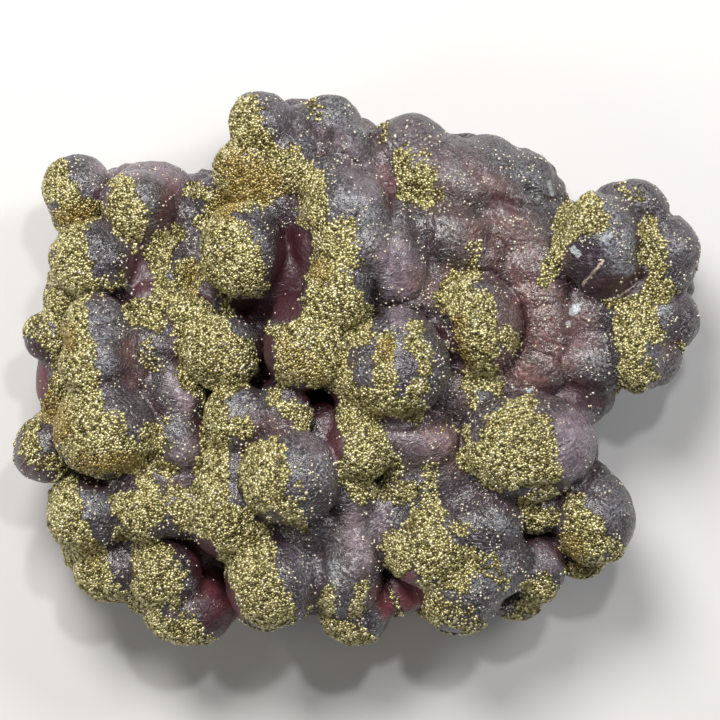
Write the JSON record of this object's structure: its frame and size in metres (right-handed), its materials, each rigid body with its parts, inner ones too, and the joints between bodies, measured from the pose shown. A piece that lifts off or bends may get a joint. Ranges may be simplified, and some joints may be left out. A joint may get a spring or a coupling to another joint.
{
  "type": "fluorite and pyrite specimen",
  "caption": "Display mineral specimen: grape-like mass of purple-grey fluorite bulbs crusted with tiny brassy pyrite crystals, lying on its flat cut back.",
  "frame": {"origin": "middle of the bounding box in plan, at the height of the flat cut that the specimen lies on", "axes": "+X to the right of the display face, +Y to the top of the display face, +Z out of the display face"},
  "size_m": [0.1731, 0.1391, 0.0709],
  "materials": {
    "fluorite": "satin, cloudy purple-grey crystal with a fine sparkling skin and wine-red depths",
    "pyrite": "bright pale brassy metal, fine crystal faces"
  },
  "bodies": {
    "root": {"fluorite_mass": "fluorite"}
  },
  "joints": []
}
